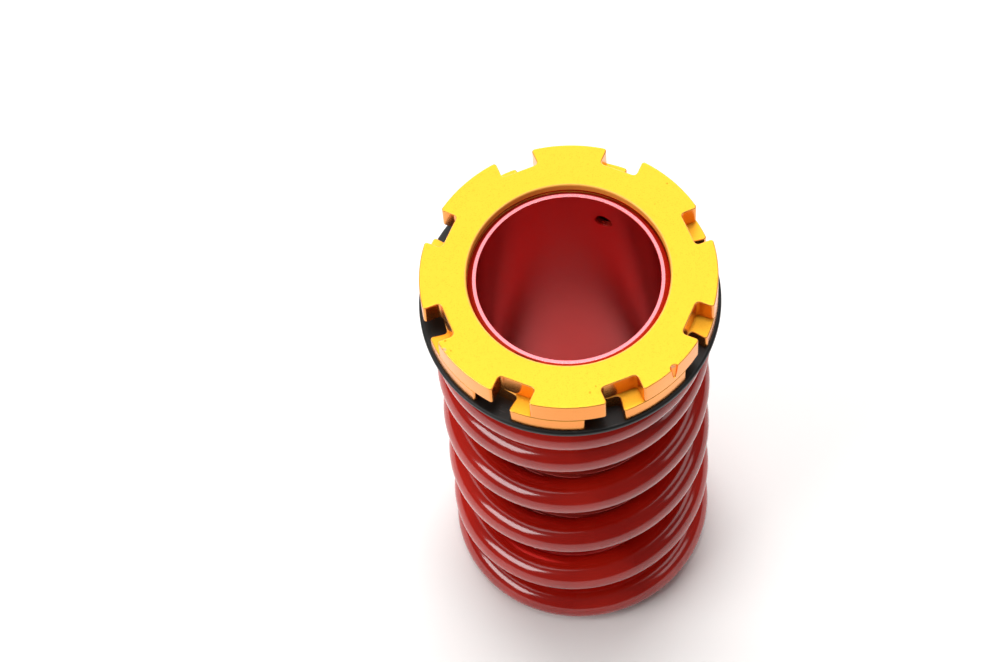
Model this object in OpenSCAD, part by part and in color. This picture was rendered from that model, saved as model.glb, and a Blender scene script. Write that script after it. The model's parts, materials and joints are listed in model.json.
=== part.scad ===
// Threaded-sleeve coilover: a coil spring that stands on its ground end, a seat washer on the
// spring, an adjusting collar and a lock collar, and the threaded sleeve that they turn on.
// The axis of the spring is Z. The origin is the centre of the ring that the spring stands on.

/* [Spring] */
// Free length of the spring, between its ground ends
spring_len = 147; // [140:0.5:160]
// Diameter of the spring wire
wire_d = 11; // [9:0.25:11.5]
// Inside diameter of the spring
spring_id = 62; // [61:0.5:66]
// Turns from tip to tip
coil_turns = 7.26; // [7:0.01:7.5]
// Turns that lie closed at the lower end
closed_low = 0.85; // [0.8:0.01:1]
// Turns that lie closed at the upper end
closed_high = 2.05; // [1.9:0.01:2.2]

/* [Seat washer] */
// Outside diameter of the washer between the spring and the adjusting collar
washer_d = 90; // [86:0.5:94]
// Thickness of the washer
washer_t = 2.2; // [1.5:0.1:4]
// Bore of the washer
washer_bore_d = 60.8; // [60.6:0.1:61.4]

/* [Collars] */
// Outside diameter of both collars
collar_d = 88; // [86:0.5:92]
// Thickness of the lock collar
lock_t = 8.4; // [7:0.1:10]
// Thickness of the adjusting collar
adjust_t = 6.4; // [5:0.1:8]
// Spanner slots around each collar
slot_count = 8; // [6:1:10]
// Width of a spanner slot
slot_w = 11.4; // [8:0.1:12]
// Depth of a spanner slot, from the outside inwards
slot_depth = 5.8; // [4:0.1:7]
// Radius of the corners at the bottom of a slot
slot_corner_r = 1.2; // [0.8:0.1:2]
// Angle of the lock collar's first slot from +X
lock_angle = 19.1; // [0:0.1:44]
// Angle of the adjusting collar's first slot from +X
adjust_angle = 10.7; // [0:0.1:44]

/* [Sleeve] */
// Length of the sleeve
sleeve_len = 138; // [130:1:144]
// Major diameter of the sleeve's thread
thread_d = 60; // [60:0.1:60]
// Pitch of the thread
thread_pitch = 2; // [2:0.5:2]
// Bore of the sleeve
bore_d = 54.4; // [54:0.1:54.8]
// Outside diameter of the flat rim at the sleeve's upper end
rim_d = 56.6; // [56:0.1:57.5]
// How far the rim lies below the lock collar's upper face
rim_drop = 2.3; // [0.5:0.1:3]
// Plain length at the sleeve's lower end, which holds the rubber rings
plain_len = 18; // [16:1:24]
// Set-screw holes around the sleeve
screw_holes = 3; // [2:1:3]
// Core diameter of a set-screw hole
screw_hole_d = 5; // [4.2:0.1:5]
// Distance from the rim to the centre of the holes
screw_hole_down = 11.3; // [10:0.1:16]
// Angle of the first set-screw hole from +X
screw_hole_angle = 65; // [0:1:119]

/* [Rubber rings] */
// Thickness of a ring's round section
ring_section = 2; // [1.8:0.1:2.2]
// Distance between the middles of the two rings
ring_spacing = 6; // [5:0.5:10]

/* [Hidden] */
$fn = 96;
// running clearance between the sleeve's thread crests and a collar's bore, on the radius
thread_gap = 0.05;
// small 45 degree chamfers: the collars' outer edges, their bores, and the sleeve's bore
collar_edge = 0.4;
collar_bore_edge = 0.55;
sleeve_bore_edge = 0.4;
washer_edge = 0.6;
// depth of the M60 thread, and the flats at its crest and root, as shares of the pitch
thread_depth = 0.6134 * thread_pitch;
crest_flat = thread_pitch / 8;
root_flat = thread_pitch / 4;
// the rubber rings' grooves, and the gap left around a ring in its groove
groove_depth = 1.5;
groove_extra_w = 0.6;
ring_gap = 0.05;
ring_edge_margin = 4;
// turns over which the spring's pitch opens from closed to full, and how its body is divided
ramp_turns = 0.5;
steps_per_turn = 32;
wire_sides = 12;
// the spring's tips are ground down to this share of the wire
tip_share = 0.25;
// clear margin that lets one solid cut right through another
cut = 1;

coil_r = (spring_id + wire_d) / 2;
washer_z = spring_len;
adjust_z = washer_z + washer_t;
lock_z = adjust_z + adjust_t;
top_z = lock_z + lock_t;
rim_z = top_z - rim_drop;
sleeve_z = rim_z - sleeve_len;
thread_r = thread_d / 2;
core_r = thread_r - thread_depth;
collar_bore_r = thread_r + thread_gap;
bore_r = bore_d / 2;
rim_r = rim_d / 2;
ring_z = sleeve_z + ring_edge_margin;

// height that the wire's centre climbs beyond closed turns at the full pitch
tip_h = (0.5 - tip_share) * wire_d;
open_turns = coil_turns - closed_low - closed_high;
open_climb = (spring_len + 2 * tip_h - wire_d * coil_turns) / (open_turns - ramp_turns);

// smooth 0 to 1 ramp, integrated: how far a ramp that starts at 0 has carried by turn t
function ramp_area(t) =
    t <= 0 ? 0 :
    t >= ramp_turns ? t - ramp_turns / 2 :
    t / 2 - ramp_turns / (2 * PI) * sin(180 * t / ramp_turns);

// height of the wire's centre after u turns from the lower tip
function wire_h(u) =
    -tip_h + wire_d * u
    + open_climb * (ramp_area(u - closed_low) - ramp_area(u - (coil_turns - closed_high - ramp_turns)));

// distance from a point at height c inside the wire's section to its edge, in direction a. The
// section is the wire's circle about height h, with whatever lies outside the ground ends taken off
function circle_reach(c, h, a) =
    let (d = (c - h) * sin(a)) -d + sqrt(d * d - (c - h) * (c - h) + wire_d * wire_d / 4);
function plane_reach(c, a) =
    sin(a) < -0.001 ? -c / sin(a) :
    sin(a) > 0.001 ? (spring_len - c) / sin(a) : wire_d;
function section_mid(h) =
    (max(h - wire_d / 2, 0) + min(h + wire_d / 2, spring_len)) / 2;
function section_point(u, a) =
    let (h = wire_h(u), c = section_mid(h), s = min(circle_reach(c, h, a), plane_reach(c, a)))
    let (r = coil_r + s * cos(a), z = c + s * sin(a))
    [r * cos(360 * u), r * sin(360 * u), abs(z) < 1e-6 ? 0 : z];

// closed and ground spring: one closed skin around the wire, swept up a helix
module coil_spring() {
    rings = ceil(coil_turns * steps_per_turn);
    points = [for (i = [0:rings], k = [0:wire_sides - 1])
        section_point(i * coil_turns / rings, (k + 0.5) * 360 / wire_sides)];
    sides = [for (i = [0:rings - 1], k = [0:wire_sides - 1])
        let (n = (k + 1) % wire_sides, a = i * wire_sides, b = a + wire_sides)
        each [[a + k, b + k, b + n], [a + k, b + n, a + n]]];
    lower_cap = [[for (k = [0:wire_sides - 1]) k]];
    upper_cap = [[for (k = [wire_sides - 1:-1:0]) rings * wire_sides + k]];
    color("#b01c14") polyhedron(points, concat(sides, lower_cap, upper_cap));
}

// flat ring with its edges broken at 45 degrees
module edged_ring(inner_r, outer_r, height, inner_edge, outer_edge) {
    rotate_extrude() polygon([
        [inner_r + inner_edge, 0], [outer_r - outer_edge, 0], [outer_r, outer_edge],
        [outer_r, height - outer_edge], [outer_r - outer_edge, height],
        [inner_r + inner_edge, height], [inner_r, height - inner_edge], [inner_r, inner_edge]]);
}

module seat_washer() {
    color("#1b1b1d") translate([0, 0, washer_z])
        edged_ring(washer_bore_d / 2, washer_d / 2, washer_t, collar_edge, washer_edge);
}

// outline of one spanner slot, along +X, with round corners at its bottom
module slot_outline() {
    floor_x = collar_d / 2 - slot_depth;
    reach = slot_depth + cut;
    translate([floor_x, slot_corner_r - slot_w / 2]) square([reach, slot_w - 2 * slot_corner_r]);
    translate([floor_x + slot_corner_r, -slot_w / 2]) square([reach - slot_corner_r, slot_w]);
    for (side = [-1, 1])
        translate([floor_x + slot_corner_r, side * (slot_w / 2 - slot_corner_r)])
            circle(slot_corner_r);
}

// collar with spanner slots all round. Its bore runs on the sleeve's thread crests
module collar(height, first_angle) {
    difference() {
        edged_ring(collar_bore_r, collar_d / 2, height, collar_bore_edge, collar_edge);
        for (i = [0:slot_count - 1])
            rotate([0, 0, first_angle + i * 360 / slot_count])
                translate([0, 0, -cut]) linear_extrude(height + 2 * cut) slot_outline();
    }
}

module adjusting_collar() {
    color("#e8a21c") translate([0, 0, adjust_z]) collar(adjust_t, adjust_angle);
}

module lock_collar() {
    color("#f2c51f") translate([0, 0, lock_z]) collar(lock_t, lock_angle);
}

// the sleeve's section. The thread's grooves are rings, so the collars turn on its crests
module sleeve_section() {
    chamfer = thread_r - rim_r;
    flank = (thread_pitch - crest_flat - root_flat) / 2;
    grooves = floor((sleeve_len - plain_len - chamfer - thread_pitch) / thread_pitch);
    first_z = rim_z - chamfer - crest_flat;
    groove_w = ring_section + groove_extra_w;
    thread = [for (i = [0:grooves - 1]) let (z = first_z - i * thread_pitch)
        each [[thread_r, z], [core_r, z - flank], [core_r, z - flank - root_flat],
              [thread_r, z - 2 * flank - root_flat]]];
    ring_grooves = [for (i = [0, 1]) let (z = ring_z + i * ring_spacing)
        each [[bore_r, z - groove_w / 2], [bore_r + groove_depth, z - groove_w / 2],
              [bore_r + groove_depth, z + groove_w / 2], [bore_r, z + groove_w / 2]]];
    polygon(concat(
        [[bore_r + sleeve_bore_edge, rim_z], [rim_r, rim_z], [thread_r, rim_z - chamfer]],
        thread,
        [[thread_r, sleeve_z + chamfer / 2], [thread_r - chamfer / 2, sleeve_z],
         [bore_r + sleeve_bore_edge, sleeve_z], [bore_r, sleeve_z + sleeve_bore_edge]],
        ring_grooves,
        [[bore_r, rim_z - sleeve_bore_edge]]));
}

module threaded_sleeve() {
    color("#b3161c") difference() {
        rotate_extrude() sleeve_section();
        for (i = [0:screw_holes - 1])
            rotate([0, 0, screw_hole_angle + i * 360 / screw_holes])
                translate([0, 0, rim_z - screw_hole_down]) rotate([0, 90, 0])
                    translate([0, 0, bore_r - cut]) cylinder(d = screw_hole_d, h = thread_r - bore_r + 2 * cut);
    }
}

// rubber ring in its groove, standing proud of the bore so that it grips a damper body
module rubber_ring(z) {
    section_r = ring_section / 2;
    color("#202020") translate([0, 0, z]) rotate_extrude()
        translate([bore_r + groove_depth - ring_gap - section_r, 0]) circle(section_r, $fn = 48);
}

module rubber_ring_lower() { rubber_ring(ring_z); }
module rubber_ring_upper() { rubber_ring(ring_z + ring_spacing); }

coil_spring();
seat_washer();
adjusting_collar();
lock_collar();
threaded_sleeve();
rubber_ring_lower();
rubber_ring_upper();
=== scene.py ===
"""Looks of a threaded-sleeve coilover: a coil spring that stands on its ground end, a seat washer, an
adjusting collar and a lock collar, and the threaded sleeve that they turn on, with two rubber rings.

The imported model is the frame. Each piece here is a class that holds its sizes in millimetres, builds
its mesh in the frame, takes its finish and rides on its own body. The axis of the spring is Z.
"""

import json
import logging
import math
from collections.abc import Iterable
from dataclasses import dataclass, field
from enum import Enum

import bmesh
import bpy
from mathutils import Matrix, Vector
from mathutils.geometry import tessellate_polygon


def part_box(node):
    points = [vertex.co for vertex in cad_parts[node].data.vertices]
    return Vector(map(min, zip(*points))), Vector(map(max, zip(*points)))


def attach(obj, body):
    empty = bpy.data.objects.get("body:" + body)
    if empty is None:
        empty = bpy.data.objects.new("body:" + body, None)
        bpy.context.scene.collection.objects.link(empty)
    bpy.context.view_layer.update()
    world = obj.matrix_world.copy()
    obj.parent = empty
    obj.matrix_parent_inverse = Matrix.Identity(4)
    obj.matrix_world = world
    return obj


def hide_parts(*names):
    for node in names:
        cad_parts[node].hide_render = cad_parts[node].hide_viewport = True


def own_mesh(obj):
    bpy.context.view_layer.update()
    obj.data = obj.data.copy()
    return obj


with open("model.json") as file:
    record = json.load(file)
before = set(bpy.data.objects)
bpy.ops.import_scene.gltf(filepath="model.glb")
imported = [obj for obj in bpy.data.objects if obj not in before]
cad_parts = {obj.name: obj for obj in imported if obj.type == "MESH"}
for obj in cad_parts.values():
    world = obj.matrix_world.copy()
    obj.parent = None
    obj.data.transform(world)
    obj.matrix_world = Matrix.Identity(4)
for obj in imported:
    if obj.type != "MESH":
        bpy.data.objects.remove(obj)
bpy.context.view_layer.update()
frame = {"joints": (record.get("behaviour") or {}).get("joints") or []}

log = logging.getLogger("coilover")

MM = 0.001
ROUND = 160  # flats in a full turn of a large round piece

Colour = tuple[float, float, float]
Corner = tuple[float, float, float]
Span = tuple[float, float]
Spot = tuple[Vector, float]


# ------------------------------------------------------------------------------------------ shapes


def polar(radius: float, angle: float, height: float) -> Vector:
    """Point at a radius from the axis, an angle in degrees from +X, and a height."""
    turn = math.radians(angle)
    return Vector((radius * math.cos(turn), radius * math.sin(turn), height))


def arc(centre: Vector, radius: float, start: float, end: float, steps: int) -> list[Vector]:
    """Points along a flat arc.

    Args:
        centre: The arc's middle, a 2-D point.
        radius: Its radius.
        start: Angle of its first point, in degrees.
        end: Angle of its last point, in degrees.
        steps: How many straight steps it is divided into.

    Returns:
        The points, its two ends among them.
    """
    turns = [math.radians(start + (end - start) * i / steps) for i in range(steps + 1)]
    return [centre + radius * Vector((math.cos(t), math.sin(t))) for t in turns]


def soften(corners: list[Corner], steps: int = 3) -> list[Vector]:
    """Rounds the corners of a closed outline.

    Args:
        corners: Each corner as its distance from the axis, its height, and its radius (0 stays sharp).
        steps: How many straight steps a round corner is divided into.

    Returns:
        The outline's 2-D points.
    """
    outline = []
    for i, (x, y, radius) in enumerate(corners):
        corner = Vector((x, y))
        if radius == 0:
            outline.append(corner)
            continue
        before = (Vector(corners[i - 1][:2]) - corner).normalized()
        after = (Vector(corners[(i + 1) % len(corners)][:2]) - corner).normalized()
        half = before.angle(after) / 2
        centre = corner + (before + after).normalized() * radius / math.sin(half)
        first = (corner + before * radius / math.tan(half) - centre).normalized()
        last = (corner + after * radius / math.tan(half) - centre).normalized()
        outline.extend(centre + first.slerp(last, k / steps) * radius for k in range(steps + 1))
    return outline


class Skin:
    """One closed surface that is being put together, in millimetres."""

    def __init__(self) -> None:
        """Starts with nothing."""
        self.points: list[Vector] = []
        self.faces: list[tuple[int, ...]] = []

    def ring(self, points: Iterable[Vector]) -> list[int]:
        """Adds points.

        Args:
            points: The points, in their order round the ring.

        Returns:
            Their numbers.
        """
        start = len(self.points)
        self.points.extend(points)
        return list(range(start, len(self.points)))

    def bridge(self, lower: list[int], upper: list[int]) -> None:
        """Joins two closed rings that have as many points each.

        Args:
            lower: The first ring's numbers.
            upper: The second ring's numbers, in the same order.
        """
        for i, corner in enumerate(lower):
            after = (i + 1) % len(lower)
            self.faces.append((corner, lower[after], upper[after], upper[i]))

    def stack(self, rings: list[list[int]], capped: bool = True) -> None:
        """Joins rings one after the other into a tube.

        Args:
            rings: The rings' numbers, from one end to the other.
            capped: Whether both ends are closed.
        """
        for lower, upper in zip(rings, rings[1:]):
            self.bridge(lower, upper)
        if capped:
            self.faces.extend((tuple(rings[0]), tuple(rings[-1])))

    def web(self, outer: list[int], inner: list[int]) -> None:
        """Fills the flat face between two closed rings, one inside the other.

        Args:
            outer: The outer ring's numbers.
            inner: The inner ring's numbers.
        """
        corners = outer + inner
        loops = [[self.points[i] for i in outer], [self.points[i] for i in inner]]
        self.faces.extend(tuple(corners[i] for i in face) for face in tessellate_polygon(loops))

    def piece(self, name: str, place: Matrix | None = None) -> bpy.types.Object:
        """Makes the surface a mesh object in the frame.

        Args:
            name: The object's name.
            place: Where it goes, if it was drawn somewhere else.

        Returns:
            The new object.
        """
        mesh = bpy.data.meshes.new(name)
        mesh.from_pydata(self.points, [], self.faces)
        mesh.transform(Matrix.Scale(MM, 4) @ (place or Matrix.Identity(4)))
        shape = bmesh.new()
        shape.from_mesh(mesh)
        bmesh.ops.recalc_face_normals(shape, faces=shape.faces)
        shape.to_mesh(mesh)
        shape.free()
        made = bpy.data.objects.new(name, mesh)
        bpy.context.scene.collection.objects.link(made)
        return made


def turned(name: str, outline: list[Vector]) -> bpy.types.Object:
    """Turns a closed outline around Z, as on a lathe.

    Args:
        name: The object's name.
        outline: 2-D points, each its distance from the axis and its height.

    Returns:
        The new object.
    """
    skin = Skin()
    rings = [skin.ring(polar(p.x, 360 * i / ROUND, p.y) for i in range(ROUND)) for p in outline]
    for i, ring in enumerate(rings):
        skin.bridge(ring, rings[(i + 1) % len(rings)])
    return skin.piece(name)


def plug(name: str, outline: list[Vector], steps: int, place: Matrix | None = None) -> bpy.types.Object:
    """Turns an open outline around Z into a solid plug with flat ends.

    Args:
        name: The object's name.
        outline: 2-D points from its lower end to its upper end, each its radius and its height.
        steps: How many flats the turn is divided into.
        place: Where the plug goes, if its axis isn't the frame's.

    Returns:
        The new object.
    """
    skin = Skin()
    rings = [skin.ring(polar(p.x, 360 * i / steps, p.y) for i in range(steps)) for p in outline]
    skin.stack(rings)
    return skin.piece(name, place)


def carve(piece: bpy.types.Object, cutters: list[bpy.types.Object]) -> None:
    """Cuts the cutters out of a piece, one after the other, and throws them away.

    Args:
        piece: The piece that is cut.
        cutters: Closed solids.
    """
    for cutter in cutters:
        cut = piece.modifiers.new("cut", "BOOLEAN")
        cut.operation = "DIFFERENCE"
        cut.solver = "MANIFOLD"
        cut.object = cutter
    graph = bpy.context.evaluated_depsgraph_get()
    carved = bpy.data.meshes.new_from_object(piece.evaluated_get(graph), depsgraph=graph)
    piece.modifiers.clear()
    piece.data = carved
    for cutter in cutters:
        bpy.data.objects.remove(cutter, do_unlink=True)


def shade(piece: bpy.types.Object, sharp_angle: float) -> None:
    """Shades a piece smooth, with its flat faces kept flat.

    Args:
        piece: The piece.
        sharp_angle: Edges that turn by more than this many degrees stay sharp.
    """
    piece.data.shade_smooth()
    piece.data.set_sharp_from_angle(angle=math.radians(sharp_angle))
    even = piece.modifiers.new("even_normals", "WEIGHTED_NORMAL")
    even.keep_sharp = True
    even.weight = 100


@dataclass(frozen=True)
class Groove:
    """The helical groove of a right-handed screw thread, made as the solid that cuts it.

    Attributes:
        surface_r: Radius of the surface that it is cut into.
        reach: How deep it goes, outwards from a bore (above 0) or inwards from a shaft (below 0).
        pitch: Distance from turn to turn.
        mouth: Width of the groove at the surface, as a share of the pitch.
        root: Width of its flat root, as a share of the pitch.
        steps: How many flats a turn is divided into.
        clear: How far the cutter stands off the surface, in millimetres.
    """

    surface_r: float
    reach: float
    pitch: float
    mouth: float = 0.875
    root: float = 0.25
    steps: int = 96
    clear: float = 0.4

    def section(self, lift: float) -> list[Vector]:
        """Outline of the cutter at one place along the groove.

        Args:
            lift: How far it is drawn out of the surface, from 0 to 1.

        Returns:
            2-D points: the distance from the axis, and the height above the groove's middle.
        """
        side = math.copysign(1, self.reach)
        drawn = side * lift * (abs(self.reach) + self.clear / 8)
        mouth = self.mouth * self.pitch / 2
        root = self.root * self.pitch / 2
        across = [(self.reach, root), (0, mouth), (-side * self.clear, mouth)]
        reaches = across + [(x, -y) for x, y in reversed(across)]
        return [Vector((self.surface_r + x - drawn, y)) for x, y in reaches]

    def cutter(
        self,
        top: float,
        start: float,
        turns: float,
        ease_in: float = 0,
        ease_out: float = 0,
        place: Matrix | None = None,
    ) -> bpy.types.Object:
        """Makes the cutter.

        Args:
            top: Height of the groove's middle where it starts, at its upper end.
            start: Angle where it starts, in degrees.
            turns: How many turns it goes down.
            ease_in: Turns over which it sinks into the surface at its upper end.
            ease_out: Turns over which it comes out again at its lower end.
            place: Where it goes, if its axis isn't the frame's.

        Returns:
            The cutter, a closed solid.
        """
        skin = Skin()
        count = math.ceil(turns * self.steps)
        rings = []
        for i in range(count + 1):
            turn = turns * i / count
            lift_in = 1 - turn / ease_in if ease_in > turn else 0
            lift_out = 1 - (turns - turn) / ease_out if ease_out > turns - turn else 0
            height = top - self.pitch * turn
            outline = self.section(max(lift_in, lift_out))
            rings.append(skin.ring(polar(p.x, start - 360 * turn, height + p.y) for p in outline))
        skin.stack(rings)
        return skin.piece("groove", place)


# ---------------------------------------------------------------------------------------- finishes


class Wire:
    """One value in a finish. Arithmetic on it adds Math nodes, so a finish reads as a sum."""

    def __init__(self, sheet: "Sheet", socket: bpy.types.NodeSocket) -> None:
        """Wraps one output of a node.

        Args:
            sheet: The finish that the node belongs to.
            socket: The output.
        """
        self.sheet = sheet
        self.socket = socket

    def _sum(self, operation: str, first: "Wire | float", second: "Wire | float") -> "Wire":
        """Adds a Math node that works on two values."""
        return self.sheet.node("ShaderNodeMath", {"operation": operation}, {0: first, 1: second})

    def __add__(self, other: "Wire | float") -> "Wire":
        """This value plus another."""
        return self._sum("ADD", self, other)

    def __radd__(self, other: float) -> "Wire":
        """A number plus this value."""
        return self._sum("ADD", other, self)

    def __sub__(self, other: "Wire | float") -> "Wire":
        """This value less another."""
        return self._sum("SUBTRACT", self, other)

    def __rsub__(self, other: float) -> "Wire":
        """A number less this value."""
        return self._sum("SUBTRACT", other, self)

    def __mul__(self, other: "Wire | float") -> "Wire":
        """This value times another."""
        return self._sum("MULTIPLY", self, other)

    def __rmul__(self, other: float) -> "Wire":
        """A number times this value."""
        return self._sum("MULTIPLY", other, self)

    def over(self, low: float, high: float) -> "Wire":
        """A smooth step of this value.

        Args:
            low: Where the step is 0 (it may be the higher number, for a step down).
            high: Where the step is 1.

        Returns:
            A value from 0 to 1.
        """
        flip = low > high
        inputs = {
            "Value": self,
            "From Min": min(low, high),
            "From Max": max(low, high),
            "To Min": float(flip),
            "To Max": float(not flip),
        }
        return self.sheet.node("ShaderNodeMapRange", {"interpolation_type": "SMOOTHSTEP"}, inputs)


class Sheet:
    """The node sheet of one material, with the few tools that the finishes share."""

    def __init__(self, name: str) -> None:
        """Starts an empty sheet.

        Args:
            name: The material's name.
        """
        self.material = bpy.data.materials.new(name)
        self.material.use_nodes = True
        self.tree = self.material.node_tree
        self.tree.nodes.clear()
        self.place = self.node("ShaderNodeTexCoord", output="Object")
        self.x, self.y, self.z = [
            self.node("ShaderNodeSeparateXYZ", None, {0: self.place}, output=axis) for axis in "XYZ"
        ]

    @staticmethod
    def _pick(sockets: Iterable[bpy.types.NodeSocket], key: int | str) -> bpy.types.NodeSocket:
        """Finds a socket.

        Args:
            sockets: The sockets to look through.
            key: The socket's number, its identifier or its name.

        Returns:
            The socket.
        """
        listed = list(sockets)
        if isinstance(key, int):
            return listed[key]
        found = [s for s in listed if s.identifier == key] or [s for s in listed if s.name == key]
        return found[0]

    def node(
        self, kind: str, settings: dict | None = None, inputs: dict | None = None, output: int | str = 0
    ) -> Wire:
        """Adds a node.

        Args:
            kind: The node's type.
            settings: Its own settings, set before its sockets.
            inputs: Values or wires, by socket number, identifier or name.
            output: Which output to hand back.

        Returns:
            The output.
        """
        made = self.tree.nodes.new(kind)
        for name, value in (settings or {}).items():
            setattr(made, name, value)
        for key, value in (inputs or {}).items():
            socket = self._pick(made.inputs, key)
            if isinstance(value, Wire):
                self.tree.links.new(value.socket, socket)
            else:
                socket.default_value = value
        return Wire(self, self._pick(made.outputs, output))

    def mix(self, share: Wire | float, first: Wire | Colour, second: Wire | Colour) -> Wire:
        """Mixes two colours.

        Args:
            share: How much of the second one there is.
            first: A colour.
            second: A colour.

        Returns:
            The mixed colour.
        """
        colours = {"A_Color": first, "B_Color": second}
        solid = {k: c if isinstance(c, Wire) else (*c, 1) for k, c in colours.items()}
        inputs = {"Factor_Float": share, **solid}
        return self.node("ShaderNodeMix", {"data_type": "RGBA"}, inputs, output="Result_Color")

    def noise(self, size_mm: float, detail: float = 2, where: Wire | None = None) -> Wire:
        """Cloudy noise from 0 to 1.

        Args:
            size_mm: About how large its clouds are.
            detail: How much finer noise is laid over it.
            where: The place that it is read at, the object's own coordinates if not given.

        Returns:
            The noise.
        """
        inputs = {"Vector": where or self.place, "Scale": 1 / (size_mm * MM), "Detail": detail}
        return self.node("ShaderNodeTexNoise", None, inputs)

    def radius(self) -> Wire:
        """Distance from the Z axis, in metres."""
        flat = self.node("ShaderNodeCombineXYZ", None, {"X": self.x, "Y": self.y})
        return self.node("ShaderNodeVectorMath", {"operation": "LENGTH"}, {0: flat}, output="Value")

    def rings(self, size_mm: float) -> Wire:
        """Turning marks: fine noise that changes across the lathe tool's path and not along it.

        Args:
            size_mm: About how far apart the marks are.

        Returns:
            The noise, from 0 to 1.
        """
        path = self.node("ShaderNodeCombineXYZ", None, {"X": self.radius(), "Y": self.z})
        return self.noise(size_mm, 1, path)

    def up(self) -> Wire:
        """How far a face looks along the axis, either way.

        Returns:
            0 for a wall, and 1 for a flat.
        """
        way = self.node("ShaderNodeNewGeometry", output="Normal")
        rise = self.node("ShaderNodeSeparateXYZ", None, {0: way}, output="Z")
        return self.node("ShaderNodeMath", {"operation": "ABSOLUTE"}, {0: rise})

    def spot(self, centre: Vector, reach_mm: float) -> Wire:
        """A soft spot.

        Args:
            centre: Its middle, in millimetres.
            reach_mm: Where it ends.

        Returns:
            1 at its middle and 0 from its edge outwards.
        """
        inputs = {0: self.place, 1: tuple(centre * MM)}
        gap = self.node("ShaderNodeVectorMath", {"operation": "DISTANCE"}, inputs, output="Value")
        return gap.over(reach_mm * MM, reach_mm * MM / 2)

    def bump(self, height: Wire, depth_mm: float) -> Wire:
        """Turns a height from 0 to 1 into a surface that looks that rough.

        Args:
            height: The height.
            depth_mm: How deep 1 is.

        Returns:
            The normal.
        """
        inputs = {"Strength": 1, "Distance": depth_mm * MM, "Height": height}
        return self.node("ShaderNodeBump", None, inputs)

    def surface(self, **inputs: Wire | float | Colour) -> bpy.types.Material:
        """Ends the sheet in a Principled shader.

        Args:
            inputs: Its sockets, with spaces written as underscores.

        Returns:
            The finished material.
        """
        named = {k.replace("_", " "): v for k, v in inputs.items()}
        named = {k: (*v, 1) if isinstance(v, tuple) else v for k, v in named.items()}
        shader = self.node("ShaderNodeBsdfPrincipled", None, named)
        end = self.tree.nodes.new("ShaderNodeOutputMaterial")
        self.tree.links.new(shader.socket, end.inputs["Surface"])
        return self.material


class Slot(Enum):
    """The record's material slots."""

    RED_POWDER_COAT = "red_powder_coat"
    BLACK_NYLON = "black_nylon"
    GOLD_ANODISED = "gold_anodised"
    RED_ANODISED = "red_anodised"
    BLACK_RUBBER = "black_rubber"


@dataclass(frozen=True)
class PowderCoat:
    """Glossy powder coat: a deep colour under a clear skin with a fine orange peel, and a little dust.

    Attributes:
        deep: Colour where the coat lies thick.
        thin: Colour where it lies thin.
        thickness_mm: Size of the clouds in which its thickness changes.
        thinning: Where among the clouds it turns from deep to thin.
        dust_mm: Size of the dust's grains.
        dust_grains: Where in the grain the dust starts and is full.
        dust_patches: Where among the clouds the dust starts and is full.
        dust_cover: How much of the coat the dust covers, where it is full.
        roughness: Roughness of the pigment under the skin.
        shine: Specular level of the pigment under the skin.
        skin: Weight of the clear skin.
        skin_roughness: Roughness of the clear skin.
        skin_ior: Index of refraction of the clear skin.
    """

    deep: Colour = (0.36, 0.0070, 0.0025)
    thin: Colour = (0.46, 0.0120, 0.0045)
    dust: Colour = (0.55, 0.42, 0.38)
    thickness_mm: float = 22
    thinning: Span = (0.35, 0.70)
    dust_mm: float = 0.35
    dust_grains: Span = (0.68, 0.80)
    dust_patches: Span = (0.45, 0.70)
    dust_cover: float = 0.25
    peel_mm: float = 1.6
    peel_depth_mm: float = 0.006
    roughness: float = 0.24
    shine: float = 0.04
    skin: float = 0.90
    skin_roughness: float = 0.12
    skin_ior: float = 1.65

    def material(self) -> bpy.types.Material:
        """Makes the material.

        Returns:
            The finished material.
        """
        sheet = Sheet("red_powder_coat")
        clouds = sheet.noise(self.thickness_mm, 3)
        grain = sheet.noise(self.dust_mm, 3)
        dusty = grain.over(*self.dust_grains) * clouds.over(*self.dust_patches) * self.dust_cover
        colour = sheet.mix(clouds.over(*self.thinning), self.deep, self.thin)
        peel = sheet.noise(self.peel_mm, 1) * 0.8 + sheet.noise(self.peel_mm / 4, 1) * 0.2
        return sheet.surface(
            Base_Color=sheet.mix(dusty, colour, self.dust),
            Roughness=self.roughness + clouds * 0.08 + dusty * 0.8,
            Specular_IOR_Level=self.shine,
            Coat_Weight=self.skin - dusty * 2,
            Coat_Roughness=self.skin_roughness,
            Coat_IOR=self.skin_ior,
            Normal=sheet.bump(peel, self.peel_depth_mm),
        )


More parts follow.
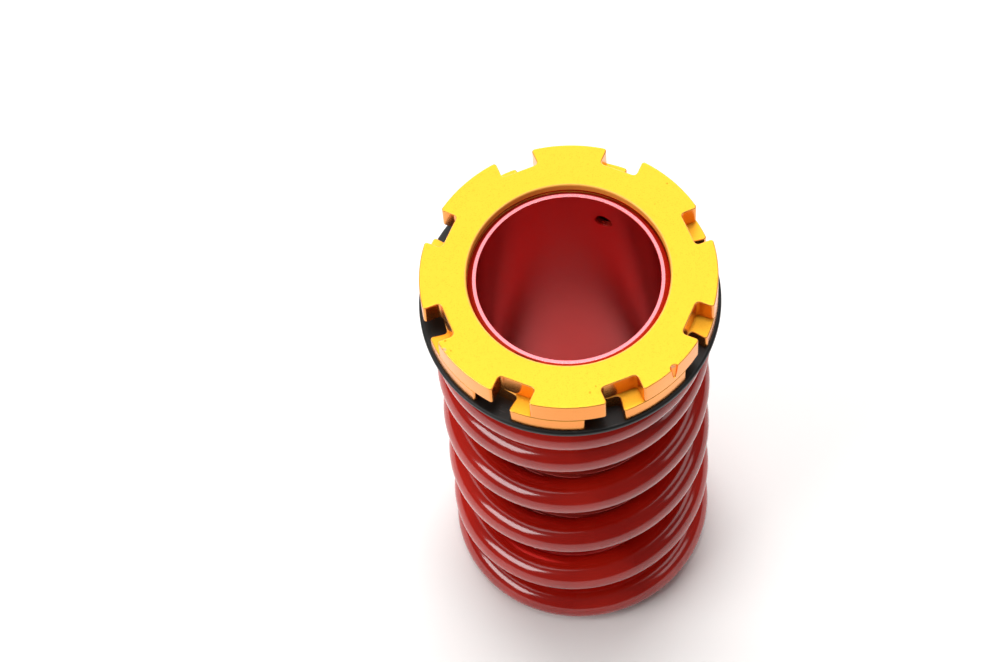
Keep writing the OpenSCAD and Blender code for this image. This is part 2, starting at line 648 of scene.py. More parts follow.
@dataclass(frozen=True)
class Anodised:
    """Anodised aluminium: a dyed oxide skin over turned metal, lighter where the dye is worn or chipped.

    Attributes:
        name: The material's name.
        flat: Colour of the faced flats. Painted light: it differs from the wall colour by which way a
            face looks, standing in for the light that the flats catch; on the red sleeve it is a painted
            pink highlight on the rim.
        wall: Colour of the turned and milled walls. Painted light: walls and flats of one finish differ
            by which way they face, standing in for how each catches the light.
        edge: Colour of the broken edges, painted light: lighter than the walls it is a painted edge
            highlight, darker than them it is painted shade. It also tints the bright turning marks and
            the matt band.
        dark: Colour of the hollows in the blasted grain, and of grit that was pressed in.
        bare: Colour of the bare metal.
        flat_roughness: Roughness of the flats.
        wall_roughness: Roughness of the walls.
        speckle: How strongly the blasted grain shows on the flats, from 0 to 1.
        turning: How strongly the turning marks show on the walls, from 0 to 1.
        gloss: How much clear gloss the sealed oxide skin has, from 0 to 1.
        gloss_roughness: Roughness of that gloss.
        matt_band: Heights in millimetres between which the bore is left matt, if it has such a band; the
            band also takes the lighter edge colour, painted light standing in for light on a band that
            lies in shade.
        matt_r: Radius in millimetres that the matt band lies inside.
        matt_fade: Distance in millimetres over which the matt band ends.
        chips: Bare places, each its middle and its reach in millimetres.
        flecks: Dark places where grit has been pressed in, each its middle and its reach.
        flat_from: How far along the axis a face has to look to begin and to be a flat.
        edge_from: The same for a broken edge.
        edge_cover: How much of the edges' colour shows on them.
        bright_marks: Where among the turning marks the bright ones start and are full.
        hollows: Where in the grain its dark hollows start and are full.
        stains: Where among the clouds the faint stains start and are full.
        wear: Where in the grain the worn specks on the edges start and are full.
        chipped: The same for the bare places.
        mark_mm: Distance between turning marks.
        grain_mm: Size of the blasted grain.
        cloud_mm: Size of the clouds in the dye.
        relief_mm: Depth of the grain and of the turning marks.
    """

    name: str
    flat: Colour
    wall: Colour
    edge: Colour
    dark: Colour
    bare: Colour
    flat_roughness: float
    wall_roughness: float
    speckle: float
    turning: float = 0.08
    gloss: float = 0.0
    gloss_roughness: float = 0.25
    matt_band: Span = (0, 0)
    matt_r: float = 0
    matt_fade: float = 0.05
    chips: tuple[Spot, ...] = ()
    flecks: tuple[Spot, ...] = ()
    flat_from: Span = (0.90, 0.985)
    edge_from: Span = (0.12, 0.45)
    edge_cover: float = 0.75
    bright_marks: Span = (0.35, 0.75)
    hollows: Span = (0.48, 0.70)
    stains: Span = (0.55, 0.80)
    wear: Span = (0.74, 0.84)
    chipped: Span = (0.38, 0.50)
    mark_mm: float = 0.30
    grain_mm: float = 0.32
    cloud_mm: float = 9
    relief_mm: float = 0.008

    def material(self) -> bpy.types.Material:
        """Makes the material.

        Returns:
            The finished material.
        """
        sheet = Sheet(self.name)
        up = sheet.up()
        flats = up.over(*self.flat_from)
        edges = up.over(*self.edge_from) * (1 - flats)
        marks = sheet.rings(self.mark_mm)
        grain = sheet.noise(self.grain_mm, 3)
        clouds = sheet.noise(self.cloud_mm, 3)
        matt = self.matt(sheet)
        wall = sheet.mix(marks.over(*self.bright_marks) * self.turning, self.wall, self.edge)
        # Painted light: flats and walls get different colours by which way the face looks, standing in
        # for how they catch the light.
        colour = sheet.mix(flats, wall, self.flat)
        # Painted light: the broken edges, found by which way they face, take the edge colour, a painted
        # highlight on the gold collars and painted shade on the red sleeve.
        colour = sheet.mix(edges * self.edge_cover, colour, self.edge)
        # Painted light: the matt band in the collar's bore takes the lighter edge colour, standing in
        # for light on a band that lies in shade.
        colour = sheet.mix(matt, colour, self.edge)
        darker = grain.over(*self.hollows) * flats * self.speckle + clouds.over(*self.stains) * 0.10
        for centre, reach in self.flecks:
            darker = darker + sheet.spot(centre, reach)
        colour = sheet.mix(darker.over(0.0, 1.6), colour, self.dark)
        worn = grain.over(*self.wear) * edges * 0.35
        for centre, reach in self.chips:
            worn = worn + sheet.spot(centre, reach) * grain.over(*self.chipped)
        worn = worn.over(0.0, 1.0)
        rough = self.wall_roughness + flats * (self.flat_roughness - self.wall_roughness)
        relief = grain * flats * self.speckle + marks * (1 - flats) * self.turning
        return sheet.surface(
            Base_Color=sheet.mix(worn, colour, self.bare),
            Metallic=1 - matt * 0.9 - edges * (1 - matt) * 0.5,
            Roughness=rough + matt * 0.15 + clouds * 0.04 + (grain - 0.5) * flats * 0.10,
            Coat_Weight=self.gloss,
            Coat_Roughness=self.gloss_roughness,
            Normal=sheet.bump(relief, self.relief_mm),
        )

    def matt(self, sheet: Sheet) -> Wire:
        """Finds where the bore is left matt and painted lighter, standing in for light on that shaded
        band.

        Args:
            sheet: The sheet of the finish.

        Returns:
            1 in the matt band and 0 outside it.
        """
        low, high = (z * MM for z in self.matt_band)
        fade = self.matt_fade * MM
        inside = sheet.radius().over(self.matt_r * MM, (self.matt_r - 0.03) * MM)
        return inside * sheet.z.over(low - fade, low) * sheet.z.over(high + fade, high)


@dataclass(frozen=True)
class Nylon:
    """Moulded black nylon: a satin skin with a fine spark-eroded grain and faint scuffs.

    Attributes:
        patch_mm: Size of the scuffed patches.
        patches: Where among the clouds they start and are full.
        scratch_mm: Distance between the scratches in them.
        scratches: Where among the rings they start and are full.
    """

    colour: Colour = (0.007, 0.007, 0.007)
    scuffed: Colour = (0.045, 0.045, 0.047)
    grain_mm: float = 0.25
    grain_depth_mm: float = 0.010
    patch_mm: float = 3.5
    patches: Span = (0.60, 0.75)
    scratch_mm: float = 0.4
    scratches: Span = (0.45, 0.65)
    roughness: float = 0.36
    shine: float = 0.3

    def material(self) -> bpy.types.Material:
        """Makes the material.

        Returns:
            The finished material.
        """
        sheet = Sheet("black_nylon")
        grain = sheet.noise(self.grain_mm, 2)
        patches = sheet.noise(self.patch_mm, 4).over(*self.patches)
        scuffs = patches * sheet.rings(self.scratch_mm).over(*self.scratches)
        return sheet.surface(
            Base_Color=sheet.mix(scuffs * 0.5, self.colour, self.scuffed),
            Roughness=self.roughness + grain * 0.10 + scuffs * 0.2,
            Specular_IOR_Level=self.shine,
            Normal=sheet.bump(grain, self.grain_depth_mm),
        )


@dataclass(frozen=True)
class Rubber:
    """Black nitrile rubber: matt, with a dusty bloom and a dull shine where it has been wiped."""

    colour: Colour = (0.014, 0.014, 0.015)
    bloom: Colour = (0.10, 0.10, 0.105)
    grain_mm: float = 0.12
    grain_depth_mm: float = 0.012
    bloom_mm: float = 2.5
    bloom_from: Span = (0.45, 0.75)
    roughness: float = 0.55
    shine: float = 0.4

    def material(self) -> bpy.types.Material:
        """Makes the material.

        Returns:
            The finished material.
        """
        sheet = Sheet("black_rubber")
        grain = sheet.noise(self.grain_mm, 3)
        bloom = sheet.noise(self.bloom_mm, 4).over(*self.bloom_from)
        return sheet.surface(
            Base_Color=sheet.mix(bloom * 0.35, self.colour, self.bloom),
            Roughness=self.roughness + bloom * 0.25,
            Specular_IOR_Level=self.shine,
            Normal=sheet.bump(grain, self.grain_depth_mm),
        )


# ------------------------------------------------------------------------------------------ pieces


def height_of(node: str) -> tuple[float, float]:
    """Lowest and highest point of a CAD node, in millimetres."""
    low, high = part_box(node)
    return low[2] / MM, high[2] / MM


def width_of(node: str) -> float:
    """Width of a CAD node along X, in millimetres."""
    low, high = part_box(node)
    return (high[0] - low[0]) / MM


@dataclass
class Piece:
    """A piece that stands for one CAD node.

    Attributes:
        node: The CAD node, which is the piece's name with "_look" after it.
        body: The body that it rides on.
        slot: The record's material slot; it is not used.
        sharp_angle: Edges that turn by more than this many degrees stay sharp.
    """

    node: str
    body: str
    slot: Slot
    sharp_angle: float = 40

    def build(self) -> bpy.types.Object:
        """Makes the mesh."""
        raise NotImplementedError

    def finish(self) -> bpy.types.Material:
        """Makes the material."""
        raise NotImplementedError

    def place(self) -> bpy.types.Object:
        """Builds, shades and dresses the piece, and lets it ride on its body in the node's place.

        Returns:
            The finished piece.
        """
        piece = self.build()
        shade(piece, self.sharp_angle)
        piece.data.materials.clear()
        piece.data.materials.append(self.finish())
        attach(piece, self.body)
        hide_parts(self.node)
        log.info("%s: %d faces on body %s", piece.name, len(piece.data.polygons), self.body)
        return piece


@dataclass
class CoilSpring(Piece):
    """Closed and ground coil spring of round wire, wound to the right.

    Attributes:
        joint: The joint that squashes it.
        closed_low: Turns that are closed at its lower end.
        closed_high: Turns that are closed at its upper end.
        ramp_turns: Turns over which the pitch opens or closes.
        tip_share: Share of the wire that is left at the ground tips.
    """

    node: str = "coil_spring"
    body: str = "spring"
    slot: Slot = Slot.RED_POWDER_COAT
    joint: str = "spring_compression"
    length: float = field(default_factory=lambda: height_of("coil_spring")[1])
    wire_d: float = 11
    inside_d: float = 62
    turns: float = 7.26
    closed_low: float = 0.85
    closed_high: float = 2.05
    ramp_turns: float = 0.5
    tip_share: float = 0.25
    steps_per_turn: int = 96
    wire_sides: int = 36
    stone_steps: int = 48

    def ramp(self, turn: float) -> float:
        """How far a pitch that starts to open at turn 0 has carried.

        Args:
            turn: The turn at which it is asked.

        Returns:
            The turns' worth of open pitch up to there.
        """
        if turn <= 0:
            return 0
        if turn >= self.ramp_turns:
            return turn - self.ramp_turns / 2
        return turn / 2 - self.ramp_turns / math.tau * math.sin(math.pi * turn / self.ramp_turns)

    def wire_height(self, turn: float) -> float:
        """Height of the wire's centre.

        Args:
            turn: How many turns from the lower tip.

        Returns:
            The height.
        """
        tip = (0.5 - self.tip_share) * self.wire_d
        open_turns = self.turns - self.closed_low - self.closed_high
        climb = (self.length + 2 * tip - self.wire_d * self.turns) / (open_turns - self.ramp_turns)
        opened = self.ramp(turn - self.closed_low)
        closed = self.ramp(turn - (self.turns - self.closed_high - self.ramp_turns))
        return -tip + self.wire_d * turn + climb * (opened - closed)

    def build(self) -> bpy.types.Object:
        """Sweeps the wire up its helix and grinds both ends flat.

        Returns:
            The spring.
        """
        skin = Skin()
        count = math.ceil(self.turns * self.steps_per_turn)
        coil_r = (self.inside_d + self.wire_d) / 2
        rings = []
        for i in range(count + 1):
            turn = self.turns * i / count
            middle = Vector((coil_r, self.wire_height(turn)))
            section = arc(middle, self.wire_d / 2, 0, 360, self.wire_sides)[:-1]
            rings.append(skin.ring(polar(p.x, 360 * turn, p.y) for p in section))
        skin.stack(rings)
        spring = skin.piece("coil_spring_look")
        reach = self.inside_d
        stones = [(-self.wire_d, 0), (self.length, self.length + self.wire_d)]
        outlines = [[Vector((reach, low)), Vector((reach, high))] for low, high in stones]
        carve(spring, [plug("stone", outline, self.stone_steps) for outline in outlines])
        return spring

    def finish(self) -> bpy.types.Material:
        """Red powder coat."""
        return PowderCoat().material()

    def place(self) -> bpy.types.Object:
        """Places the spring, and works out but doesn't use the share of its length that the joint's
        travel would leave.

        Returns:
            The finished spring.
        """
        spring = super().place()
        travel = next(j["range_m"] for j in frame["joints"] if j["name"] == self.joint)
        keep = 1 - max(abs(end) for end in travel) / (self.length * MM)
        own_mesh(spring)
        return spring


@dataclass
class SeatWasher(Piece):
    """Flat washer between the spring and the adjusting collar, with well-rounded edges."""

    node: str = "seat_washer"
    body: str = "washer"
    slot: Slot = Slot.BLACK_NYLON
    bore_d: float = 60.8
    edge_r: float = 0.8
    bore_edge_r: float = 0.4
    edge_steps: int = 5

    def build(self) -> bpy.types.Object:
        """Turns the washer.

        Returns:
            The washer.
        """
        low, high = height_of(self.node)
        inner = self.bore_d / 2
        outer = width_of(self.node) / 2
        corners = [
            (inner, low, self.bore_edge_r),
            (outer, low, self.edge_r),
            (outer, high, self.edge_r),
            (inner, high, self.bore_edge_r),
        ]
        return turned("seat_washer_look", soften(corners, self.edge_steps))

    def finish(self) -> bpy.types.Material:
        """Black nylon."""
        return Nylon().material()


@dataclass
class SpannerCollar(Piece):
    """Ring nut with spanner slots all round, their corners rounded, and every edge broken.

    Attributes:
        first_angle: Angle of the first slot's middle from +X, in degrees.
        bore_d: Diameter of its bore, at the thread's crests.
        slot_corner_r: Radius of the slots' inner corners.
        mouth_r: Radius of the slots' outer corners.
        edge_r: Radius of the outer edges.
        bore_edge: Radius of the bore's edges.
        thread_ease: Turns over which the thread sinks in at its upper end.
        plain_top: Height of the plain band above the thread in its bore.
    """

    slot: Slot = Slot.GOLD_ANODISED
    sharp_angle: float = 32
    first_angle: float = 0
    bore_d: float = 60.1
    slot_count: int = 8
    slot_w: float = 11.4
    slot_depth: float = 5.8
    slot_corner_r: float = 1.2
    mouth_r: float = 0.9
    edge_r: float = 0.4
    bore_edge: float = 0.55
    pitch: float = 2
    thread_depth: float = 1.1
    thread_ease: float = 0.4
    plain_top: float = 2.6
    edge_steps: int = 4
    corner_steps: int = 6
    rim_steps: int = 16

    def outline(self, inset: float) -> list[Vector]:
        """Outline of the collar, going round from the first slot.

        Args:
            inset: How far inside the full outline it lies.

        Returns:
            2-D points, as many for every inset.
        """
        outer_r = width_of(self.node) / 2
        wall_y = self.slot_w / 2 + inset
        floor_x = outer_r - self.slot_depth - inset
        corner_r = self.slot_corner_r + inset
        mouth_r = self.mouth_r - inset
        rim_r = outer_r - inset
        mouth_y = wall_y + mouth_r
        mouth_x = math.sqrt((rim_r - mouth_r) ** 2 - mouth_y**2)
        mouth_turn = math.degrees(math.atan2(mouth_y, mouth_x))
        steps = self.corner_steps
        corner_x, corner_y = floor_x + corner_r, wall_y - corner_r
        slot = arc(Vector((mouth_x, -mouth_y)), mouth_r, -mouth_turn, 90, steps)
        slot += arc(Vector((corner_x, -corner_y)), corner_r, -90, -180, steps)
        slot += arc(Vector((corner_x, corner_y)), corner_r, 180, 90, steps)
        slot += arc(Vector((mouth_x, mouth_y)), mouth_r, -90, mouth_turn, steps)
        share = 360 / self.slot_count
        slot += arc(Vector((0, 0)), rim_r, mouth_turn, share - mouth_turn, self.rim_steps)[1:-1]
        points = []
        for i in range(self.slot_count):
            turn = Matrix.Rotation(math.radians(self.first_angle + i * share), 2)
            points.extend(turn @ p for p in slot)
        return points

    def damage(self, top: float) -> list[bpy.types.Object]:
        """Cutters for the knocks that this collar has taken, given the height of its top."""
        return []

    def blank(self) -> bpy.types.Object:
        """Makes the collar without its thread and its damage.

        Returns:
            The blank.
        """
        low, high = height_of(self.node)
        skin = Skin()
        edge = arc(Vector((self.edge_r, 0)), self.edge_r, 90, 180, self.edge_steps)
        levels = [(p.x, low + self.edge_r - p.y) for p in edge]
        levels += [(p.x, high - self.edge_r + p.y) for p in reversed(edge)]
        walls = [
            skin.ring(p.to_3d() + Vector((0, 0, height)) for p in self.outline(inset))
            for inset, height in levels
        ]
        edge_x = self.bore_d / 2 + self.bore_edge
        lower_edge = Vector((edge_x, low + self.bore_edge))
        upper_edge = Vector((edge_x, high - self.bore_edge))
        bore = arc(lower_edge, self.bore_edge, 270, 180, self.edge_steps)
        bore += arc(upper_edge, self.bore_edge, 180, 90, self.edge_steps)
        holes = [skin.ring(polar(p.x, 360 * i / ROUND, p.y) for i in range(ROUND)) for p in bore]
        skin.stack(walls, capped=False)
        skin.stack(holes, capped=False)
        skin.web(walls[0], holes[0])
        skin.web(walls[-1], holes[-1])
        return skin.piece(f"{self.node}_look")

    def build(self) -> bpy.types.Object:
        """Makes the blank with its slots, then cuts the thread in its bore and its nicks.

        Returns:
            The collar.
        """
        low, high = height_of(self.node)
        collar = self.blank()
        thread = Groove(self.bore_d / 2, self.thread_depth, self.pitch)
        start = high - self.plain_top
        turns = (start - low) / self.pitch + 1
        helix = thread.cutter(start, self.first_angle, turns, ease_in=self.thread_ease)
        carve(collar, [helix, *self.damage(high)])
        return collar

    def marks(self, top: float) -> tuple[Spot, ...]:
        """Bare places on this collar, given the height of its top."""
        return ()

    def grit(self, top: float) -> tuple[Spot, ...]:
        """Dark flecks on this collar, given the height of its top."""
        return ()

    def finish(self) -> bpy.types.Material:
        """Gold anodised aluminium.

        Returns:
            The material.
        """
        top = height_of(self.node)[1]
        return Anodised(
            name=f"gold_anodised_{self.node}",
            # Painted light: the yellower flat and more orange wall colours stand in for how the tops and
            # the sides catch the light.
            flat=(0.80, 0.405, 0.030),
            wall=(0.98, 0.34, 0.060),
            # Painted highlight: this edge colour, lighter than the walls, brightens the broken edges.
            edge=(0.95, 0.46, 0.070),
            dark=(0.50, 0.19, 0.006),
            bare=(0.62, 0.27, 0.16),
            flat_roughness=0.46,
            wall_roughness=0.20,
            speckle=0.6,
            # Painted light: this band is also painted lighter, standing in for light in the shaded bore.
            matt_band=(top - self.plain_top, top),
            matt_r=self.bore_d / 2 + self.bore_edge,
            chips=self.marks(top),
            flecks=self.grit(top),
        ).material()


@dataclass
class AdjustingCollar(SpannerCollar):
    """The lower collar, which carries the seat washer."""

    node: str = "adjusting_collar"
    body: str = "adjuster"
    first_angle: float = 10.7
    plain_top: float = 1.0


@dataclass
class LockCollar(SpannerCollar):
    """The upper collar, with a nick in its rim where a spanner has slipped.

    Attributes:
        nick_angle: Angle of the nick from +X, in degrees.
        nick_r: Radius of the half-round nick at the collar's top.
        nick_run: How far down the wall it runs out.
        nick_lip: How far its upper edge is broken.
        nick_waist: Its radius halfway down, as a share of the radius at the top.
        nick_bare: How far under the top its bare metal lies.
        chip_inset: How far inside the rim the chip's middle lies.
        flecks: Flecks of grit in the top: angle from +X, distance inside the rim, and reach.
    """

    node: str = "lock_collar"
    body: str = "lock"
    first_angle: float = 19.1
    nick_angle: float = -48.8
    nick_r: float = 1.3
    nick_run: float = 6
    nick_lip: float = 0.4
    nick_waist: float = 0.8
    nick_bare: float = 1
    nick_steps: int = 24
    chip_angle: float = -149
    chip_r: float = 0.8
    chip_inset: float = 0.5
    chip_depth: float = 0.35
    chip_steps: int = 14
    flecks: tuple[tuple[float, float, float], ...] = (
        (-84, 4.6, 0.5),
        (-81, 6.2, 0.35),
        (-152, 2.2, 0.5),
        (-147, 1.8, 0.4),
        (42.6, 2.0, 0.4),
    )

    def damage(self, top: float) -> list[bpy.types.Object]:
        """Makes the cutters for the half-round nick and the small chip in the rim.

        Args:
            top: Height of the collar's top.

        Returns:
            The two cutters.
        """
        outer_r = width_of(self.node) / 2
        nick = [
            Vector((self.nick_r / 4, top - self.nick_run)),
            Vector((self.nick_r * self.nick_waist, top - self.nick_run / 2)),
            Vector((self.nick_r, top - self.nick_lip)),
            Vector((self.nick_r + self.nick_lip, top + self.nick_lip)),
        ]
        chip = [
            Vector((self.chip_r / 4, top - self.chip_depth)),
            Vector((self.chip_r, top)),
            Vector((self.chip_r + self.chip_depth, top + self.chip_depth)),
        ]
        nick_place = Matrix.Translation(polar(outer_r, self.nick_angle, 0))
        chip_place = Matrix.Translation(polar(outer_r - self.chip_inset, self.chip_angle, 0))
        return [
            plug("nick", nick, self.nick_steps, nick_place),
            plug("chip", chip, self.chip_steps, chip_place),
        ]

    def marks(self, top: float) -> tuple[Spot, ...]:
        """Bare metal at the nick and the chip.

        Args:
            top: Height of the collar's top.

        Returns:
            The two bare places.
        """
        outer_r = width_of(self.node) / 2
        nick = polar(outer_r - self.nick_r / 2, self.nick_angle, top - self.nick_bare)
        chip = polar(outer_r - self.chip_inset, self.chip_angle, top)
        return ((nick, self.nick_r), (chip, self.chip_r))

    def grit(self, top: float) -> tuple[Spot, ...]:
        """Dark flecks pressed into the top beside the worn places."""
        outer_r = width_of(self.node) / 2
        return tuple((polar(outer_r - inset, angle, top), reach) for angle, inset, reach in self.flecks)


@dataclass
class ThreadedSleeve(Piece):
    """Sleeve with an M60 thread outside, set-screw holes and two grooves for rubber rings inside.

    Attributes:
        rim_d: Outside diameter of the rim's flat, above its bevel.
        thread_top: How far below the rim the thread starts.
        thread_ease: Turns over which it sinks in at its start, and comes out at its end.
        plain_len: Length of the plain lower end.
        bore_edge: Width of the bore's broken edges.
        hole_angle: Angle of the first hole from +X, in degrees.
        hole_down: How far below the rim the holes are.
        hole_edge: Width of the holes' broken edges.
        tap_depth: Depth of the thread in the holes.
        tap_pitch: Pitch of that thread.
        tap_turns: Turns of that thread.
        start_angle: Angle where the thread starts, in degrees from +X.
        start_sweep: How many degrees the start's deep mark goes round.
        start_depth: Depth of the mark.
        start_w: Width of the mark.
        start_down: How far below the rim the mark is.
        fine_r: Radius of the corners at the bore's broken edges.
        rim_r: Radius of the rim's outer corner.
        shoulder_r: Radius of the corner under the rim's bevel.
        foot_r: Radius of the lower end's outer corners.
        root_r: Radius of the ring grooves' inner corners.
        corner_r: Radius of the other corners.
    """

    node: str = "threaded_sleeve"
    body: str = "sleeve"
    slot: Slot = Slot.RED_ANODISED
    sharp_angle: float = 32
    bore_d: float = 54.4
    rim_d: float = 56.8
    pitch: float = 2
    thread_depth: float = 1.227
    thread_top: float = 3.4
    thread_ease: Span = (0.3, 0.5)
    plain_len: float = 18
    bore_edge: float = 0.18
    groove_w: float = 2.6
    groove_depth: float = 1.5
    screw_holes: int = 3
    hole_angle: float = 65
    hole_down: float = 11.3
    hole_d: float = 5
    hole_edge: float = 0.2
    tap_depth: float = 0.45
    tap_pitch: float = 0.8
    tap_turns: float = 6
    start_angle: float = -105
    start_sweep: float = 21
    start_depth: float = 2.1
    start_w: float = 1.2
    start_down: float = 0.7
    fine_r: float = 0.08
    rim_r: float = 0.12
    shoulder_r: float = 0.3
    foot_r: float = 0.2
    root_r: float = 0.25
    corner_r: float = 0.15

    def ring_heights(self) -> list[float]:
        """Middle heights of the two rubber rings."""
        return [sum(height_of(ring)) / 2 for ring in ("rubber_ring_lower", "rubber_ring_upper")]

    def blank(self) -> bpy.types.Object:
        """Turns the sleeve without its thread and holes.

        Returns:
            The blank.
        """
        low, high = height_of(self.node)
        outer = width_of(self.node) / 2
        bore, rim = self.bore_d / 2, self.rim_d / 2
        bevel = outer - rim
        corners = [
            (bore + self.bore_edge, high, self.fine_r),
            (rim, high, self.rim_r),
            (outer, high - bevel, self.shoulder_r),
            (outer, low + bevel / 2, self.foot_r),
            (outer - bevel / 2, low, self.corner_r),
            (bore + self.bore_edge, low, self.fine_r),
            (bore, low + self.bore_edge, self.corner_r),
        ]
        for middle in self.ring_heights():
            bottom, top = middle - self.groove_w / 2, middle + self.groove_w / 2
            deep = bore + self.groove_depth
            corners += [
                (bore, bottom, self.corner_r),
                (deep, bottom, self.root_r),
                (deep, top, self.root_r),
                (bore, top, self.corner_r),
            ]
        corners.append((bore, high - self.bore_edge, self.corner_r))
        return turned("threaded_sleeve_look", soften(corners))

    def screw_hole(self, index: int, height: float) -> list[bpy.types.Object]:
        """Cutters for one tapped hole, countersunk on both sides.

        Args:
            index: Which hole.
            height: Height of its middle.

        Returns:
            The drill, and the tap.
        """
        inner, outer = self.bore_d / 2, width_of(self.node) / 2
        radius = self.hole_d / 2
        sink = self.hole_edge
        drill = [
            Vector((radius + sink + 1, inner - 1)),
            Vector((radius, inner + sink)),
            Vector((radius, outer - self.thread_depth)),
            Vector((radius + self.thread_depth + sink, outer + sink)),
        ]
        angle = math.radians(self.hole_angle + index * 360 / self.screw_holes)
        place = Matrix.Translation((0, 0, height)) @ Matrix.Rotation(angle, 4, "Z")
        place = place @ Matrix.Rotation(math.radians(90), 4, "Y")
        tap = Groove(radius, self.tap_depth, self.tap_pitch, steps=32, clear=0.2)
        return [
            plug("drill", drill, 48, place),
            tap.cutter(outer + 1, 0, self.tap_turns, place=place),
        ]

    def build(self) -> bpy.types.Object:
        """Turns the sleeve and cuts its thread, its thread start and its set-screw holes.

        Returns:
            The sleeve.
        """
        low, high = height_of(self.node)
        outer = width_of(self.node) / 2
        sleeve = self.blank()
        thread = Groove(outer, -self.thread_depth, self.pitch, steps=120)
        turns = (high - self.thread_top - low - self.plain_len) / self.pitch
        cutters = [
            thread.cutter(high - self.thread_top, self.start_angle, turns, *self.thread_ease)
        ]
        mark = Groove(outer, -self.start_depth, self.start_w, root=0.6, clear=0.9)
        sweep = self.start_sweep / 360
        cutters.append(mark.cutter(high - self.start_down, self.start_angle, sweep, sweep / 3))
        for i in range(self.screw_holes):
            cutters += self.screw_hole(i, high - self.hole_down)
        carve(sleeve, cutters)
        return sleeve

    def finish(self) -> bpy.types.Material:
        """Red anodised aluminium.

        Returns:
            The material.
        """
        return Anodised(
            name="red_anodised",
            # Painted highlight: the pale pink flat colour stands in for the highlight on the rim and
            # other flats; the walls keep the deep red.
            flat=(0.88, 0.24, 0.27),
            wall=(0.80, 0.016, 0.012),
            # Painted shade: this edge colour, darker than the walls, gives the broken edges a thin dark
            # line.
            edge=(0.40, 0.022, 0.008),
            dark=(0.30, 0.010, 0.008),
            bare=(0.85, 0.70, 0.70),
            flat_roughness=0.25,
            wall_roughness=0.24,
            speckle=0.2,
            gloss=0.5,
        ).material()


@dataclass
class RubberRing(Piece):
    """Rubber ring of round section, with the fine flash line of its mould on its inner side.

    Attributes:
        flash: How far the flash line stands up.
        section_steps: How many flats its section is divided into.
    """

    body: str = "sleeve"
    slot: Slot = Slot.BLACK_RUBBER
    sharp_angle: float = 50
    flash: float = 0.06
    section_steps: int = 28

    def build(self) -> bpy.types.Object:
        """Turns the ring.

        Returns:
            The ring.
        """
        low, high = height_of(self.node)
        radius = (high - low) / 2
        middle = Vector((width_of(self.node) / 2 - radius, (low + high) / 2))
        section = arc(middle, radius, 0, 360, self.section_steps)[:-1]
        inner = self.section_steps // 2
        section[inner] = section[inner].lerp(middle, -self.flash / radius)
        return turned(f"{self.node}_look", section)

    def finish(self) -> bpy.types.Material:
        """Black rubber."""
        return Rubber().material()


# ------------------------------------------------------------------------------------------ studio


@dataclass(frozen=True)
class Softbox:
    """A flat studio light that points at the coilover.

    Attributes:
        name: Its name.
        azimuth: Where it stands, in degrees from +X.
        elevation: How high it stands, in degrees.
        distance: How far away, in metres.
        size: Its width and height, in metres.
        power: Its power, in watts.
    """

    name: str
    azimuth: float
    elevation: float
    distance: float
    size: tuple[float, float]
    power: float

    def hang(self, target: Vector) -> None:
        """Makes the light.

        Args:
            target: The point that it is aimed at, in metres.
        """
        lamp = bpy.data.lights.new(self.name, "AREA")
        lamp.shape = "RECTANGLE"
        lamp.size, lamp.size_y = self.size
        lamp.energy = self.power
        light = bpy.data.objects.new(self.name, lamp)
        rise = math.radians(self.elevation)
        away = polar(math.cos(rise), self.azimuth, math.sin(rise))
        light.location = target + away * self.distance
        light.rotation_euler = away.to_track_quat("Z", "Y").to_euler()
        bpy.context.scene.collection.objects.link(light)


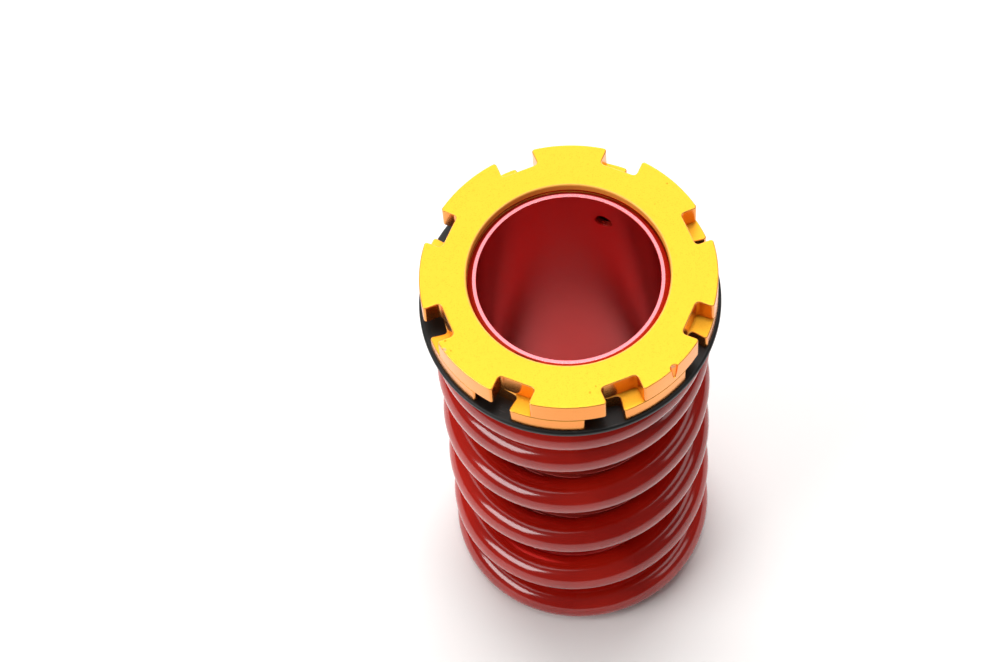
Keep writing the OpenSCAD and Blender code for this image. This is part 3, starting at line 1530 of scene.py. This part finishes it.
@dataclass(frozen=True)
class Studio:
    """A plain pale table under soft light, and the camera.

    Attributes:
        camera_back: How far the camera stands in front of the axis, in millimetres.
        camera_above: How far it stands above the lock collar's top, in millimetres.
        camera_turns: Its tilt, its lean and its turn about X, Y and Z, in degrees.
        lens: Focal length in millimetres.
        sensor_w: Width of the sensor in millimetres.
        sky: Colour of the surroundings.
        sky_strength: Brightness of the surroundings.
    """

    camera_back: float = 462.4
    camera_above: float = 848.4
    camera_turns: tuple[float, float, float] = (27.574, 2.738, -2.543)
    lens: float = 118.6
    sensor_w: float = 36
    table_r: float = 6.0
    table_steps: int = 96
    table_colour: Colour = (0.87, 0.855, 0.84)
    table_grain_mm: float = 1.5
    table_roughness: float = 0.55
    table_shine: float = 0.3
    sky: Colour = (1.0, 1.0, 1.0)
    sky_strength: float = 0.09
    lights: tuple[Softbox, ...] = (
        Softbox("top_light", 90, 78, 1.8, (2.2, 1.5), 17),
        Softbox("down_light", 90, 86, 1.8, (0.4, 0.4), 9),
        Softbox("back_light", 90, 32, 1.8, (2.6, 0.8), 34),
        Softbox("left_light", 200, 36, 1.6, (1.0, 0.6), 13),
        Softbox("right_light", -25, 36, 1.6, (0.7, 0.5), 2),
    )

    def table(self) -> None:
        """Lays the table, a wide disc just under the spring."""
        skin = Skin()
        step = 360 / self.table_steps
        rim = skin.ring(polar(self.table_r / MM, step * i, 0) for i in range(self.table_steps))
        skin.faces.append(tuple(rim))
        table = skin.piece("table")
        sheet = Sheet("table_top")
        grain = sheet.noise(self.table_grain_mm, 2)
        surface = sheet.surface(
            Base_Color=self.table_colour,
            Roughness=self.table_roughness + grain * 0.1,
            Specular_IOR_Level=self.table_shine,
        )
        table.data.materials.append(surface)

    def surroundings(self) -> None:
        """Makes the surroundings, dim and even, so that the softboxes model the shapes."""
        world = bpy.data.worlds.new("surroundings")
        world.use_nodes = True
        background = world.node_tree.nodes["Background"]
        background.inputs["Color"].default_value = (*self.sky, 1)
        background.inputs["Strength"].default_value = self.sky_strength
        bpy.context.scene.world = world

    def camera(self, top: float) -> None:
        """Sets the camera up.

        Args:
            top: Height of the lock collar's top, in millimetres.
        """
        lens = bpy.data.cameras.new("camera")
        lens.sensor_width = self.sensor_w
        lens.lens = self.lens
        camera = bpy.data.objects.new("camera", lens)
        camera.location = Vector((0, -self.camera_back, top + self.camera_above)) * MM
        camera.rotation_euler = [math.radians(a) for a in self.camera_turns]
        bpy.context.scene.collection.objects.link(camera)
        bpy.context.scene.camera = camera

    def set_up(self) -> None:
        """Sets up the table, the light and the camera."""
        top = height_of("lock_collar")[1]
        self.table()
        self.surroundings()
        for light in self.lights:
            light.hang(Vector((0, 0, top / 2)) * MM)
        self.camera(top)
        bpy.context.scene.view_settings.view_transform = "Standard"


def main() -> None:
    """Builds the pieces in order, then the studio."""
    logging.basicConfig(level=logging.INFO, format="%(name)s: %(message)s")
    pieces: list[Piece] = [
        CoilSpring(),
        SeatWasher(),
        AdjustingCollar(),
        LockCollar(),
        ThreadedSleeve(),
        RubberRing(node="rubber_ring_lower"),
        RubberRing(node="rubber_ring_upper"),
    ]
    for piece in pieces:
        piece.place()
    Studio().set_up()


if __name__ == "__main__":
    main()
